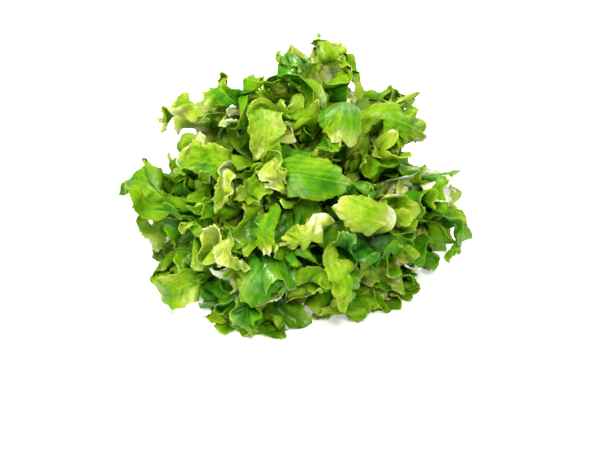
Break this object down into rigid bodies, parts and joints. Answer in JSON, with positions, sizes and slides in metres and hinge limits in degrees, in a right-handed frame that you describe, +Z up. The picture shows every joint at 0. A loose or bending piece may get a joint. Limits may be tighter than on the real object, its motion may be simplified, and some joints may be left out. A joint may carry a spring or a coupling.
{
  "type": "curly endive head",
  "caption": "Head of curly endive: a rosette of ruffled green leaves on a short cut stem, paler at the heart, standing on its cut end.",
  "frame": {"origin": "middle of the stem's flat cut face, on the surface that the head stands on", "axes": "+Z up through the head, from the cut face to the heart; -Y towards the viewer and +X to the viewer's right"},
  "size_m": [0.2924, 0.2809, 0.1902],
  "materials": {
    "outer_leaf": "fresh leaf, waxy sheen",
    "middle_leaf": "fresh leaf, waxy sheen",
    "heart_leaf": "fresh pale leaf, waxy sheen",
    "stem": "moist cut stem, matt"
  },
  "bodies": {
    "root": {"stem": "stem", "outer_leaf_01": "outer_leaf", "outer_leaf_02": "outer_leaf", "outer_leaf_03": "outer_leaf", "outer_leaf_04": "outer_leaf", "outer_leaf_05": "outer_leaf", "outer_leaf_06": "outer_leaf", "outer_leaf_07": "outer_leaf", "outer_leaf_08": "outer_leaf", "outer_leaf_09": "outer_leaf", "outer_leaf_10": "outer_leaf", "outer_leaf_11": "outer_leaf", "outer_leaf_12": "outer_leaf", "outer_leaf_13": "outer_leaf", "outer_leaf_14": "outer_leaf", "outer_leaf_15": "outer_leaf", "outer_leaf_16": "outer_leaf", "outer_leaf_17": "outer_leaf", "outer_leaf_18": "outer_leaf", "middle_leaf_01": "middle_leaf", "middle_leaf_02": "middle_leaf", "middle_leaf_03": "middle_leaf", "middle_leaf_04": "middle_leaf", "middle_leaf_05": "middle_leaf", "middle_leaf_06": "middle_leaf", "middle_leaf_07": "middle_leaf", "middle_leaf_08": "middle_leaf", "middle_leaf_09": "middle_leaf", "middle_leaf_10": "middle_leaf", "middle_leaf_11": "middle_leaf", "middle_leaf_12": "middle_leaf", "middle_leaf_13": "middle_leaf", "middle_leaf_14": "middle_leaf", "middle_leaf_15": "middle_leaf", "middle_leaf_16": "middle_leaf", "middle_leaf_17": "middle_leaf", "middle_leaf_18": "middle_leaf", "middle_leaf_19": "middle_leaf", "middle_leaf_20": "middle_leaf", "middle_leaf_21": "middle_leaf", "middle_leaf_22": "middle_leaf", "middle_leaf_23": "middle_leaf", "middle_leaf_24": "middle_leaf", "heart_leaf_01": "heart_leaf", "heart_leaf_02": "heart_leaf", "heart_leaf_03": "heart_leaf", "heart_leaf_04": "heart_leaf", "heart_leaf_05": "heart_leaf", "heart_leaf_06": "heart_leaf", "heart_leaf_07": "heart_leaf", "heart_leaf_08": "heart_leaf", "heart_leaf_09": "heart_leaf", "heart_leaf_10": "heart_leaf", "heart_leaf_11": "heart_leaf", "heart_leaf_12": "heart_leaf", "heart_leaf_13": "heart_leaf", "heart_leaf_14": "heart_leaf"}
  },
  "joints": []
}
